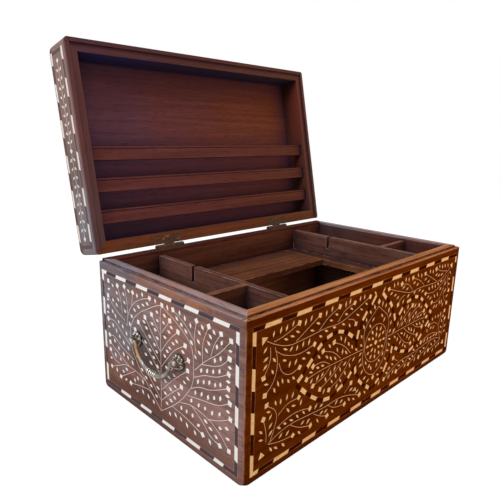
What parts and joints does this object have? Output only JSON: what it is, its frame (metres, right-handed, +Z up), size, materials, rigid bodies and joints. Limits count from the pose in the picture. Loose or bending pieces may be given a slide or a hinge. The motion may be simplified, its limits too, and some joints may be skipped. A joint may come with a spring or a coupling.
{
  "type": "inlaid wooden box",
  "caption": "Rectangular dark wood box with a hinged lid, bone and ebony inlay, a fitted interior with a letter rack in the lid, and a drop handle on each end.",
  "frame": {"origin": "on the floor, at the centre of the base's flat underside", "axes": "+X to the right along the front, +Y from the front to the back, +Z up"},
  "size_m": [0.4852, 0.3819, 0.4545],
  "materials": {
    "dark_wood": "waxed, with a soft sheen",
    "inside_wood": "dry and worn",
    "bone": "polished flush with the wood",
    "ebony": "polished flush with the wood",
    "aged_brass": "tarnished, worn bright where it is held"
  },
  "bodies": {
    "base": {"base_back_panel": "dark_wood", "base_bone_strips": "bone", "base_bottom_panel": "inside_wood", "base_ebony_strips": "ebony", "base_front_panel": "dark_wood", "base_left_panel": "dark_wood", "base_right_panel": "dark_wood", "floor_cleat_back": "inside_wood", "floor_cleat_front": "inside_wood", "floor_cleat_left": "inside_wood", "floor_cleat_right": "inside_wood", "hinge_base_screws": "aged_brass", "left_cross_partition": "inside_wood", "left_divider": "inside_wood", "left_handle_nuts": "aged_brass", "left_handle_posts": "aged_brass", "left_hinge_base_leaf": "aged_brass", "left_hinge_pin": "aged_brass", "raised_floor_back": "inside_wood", "raised_floor_front": "inside_wood", "raised_floor_left": "inside_wood", "raised_floor_right": "inside_wood", "right_cross_partition": "inside_wood", "right_divider": "inside_wood", "right_handle_nuts": "aged_brass", "right_handle_posts": "aged_brass", "right_hinge_base_leaf": "aged_brass", "right_hinge_pin": "aged_brass"},
    "lid": {"hinge_lid_screws": "aged_brass", "left_hinge_lid_leaf": "aged_brass", "letter_rack_slat_lower": "inside_wood", "letter_rack_slat_middle": "inside_wood", "letter_rack_slat_upper": "inside_wood", "lid_back_rail": "dark_wood", "lid_bone_strips": "bone", "lid_ebony_strips": "ebony", "lid_front_rail": "dark_wood", "lid_left_rail": "dark_wood", "lid_right_rail": "dark_wood", "lid_top_panel": "dark_wood", "right_hinge_lid_leaf": "aged_brass"},
    "left_bail": {"left_handle_bail": "aged_brass"},
    "right_bail": {"right_handle_bail": "aged_brass"}
  },
  "joints": [
    {"name": "lid_hinge", "type": "hinge", "parent": "base", "child": "lid", "pos_m": [0, 0.1416, 0.1802], "axis": [1, 0, 0], "range_deg": [0, 101.8]},
    {"name": "left_handle_swing", "type": "hinge", "parent": "base", "child": "left_bail", "pos_m": [-0.238, 0, 0.0996], "axis": [0, 1, 0], "range_deg": [-5, 100]},
    {"name": "right_handle_swing", "type": "hinge", "parent": "base", "child": "right_bail", "pos_m": [0.238, 0, 0.0996], "axis": [0, -1, 0], "range_deg": [-5, 100]}
  ]
}
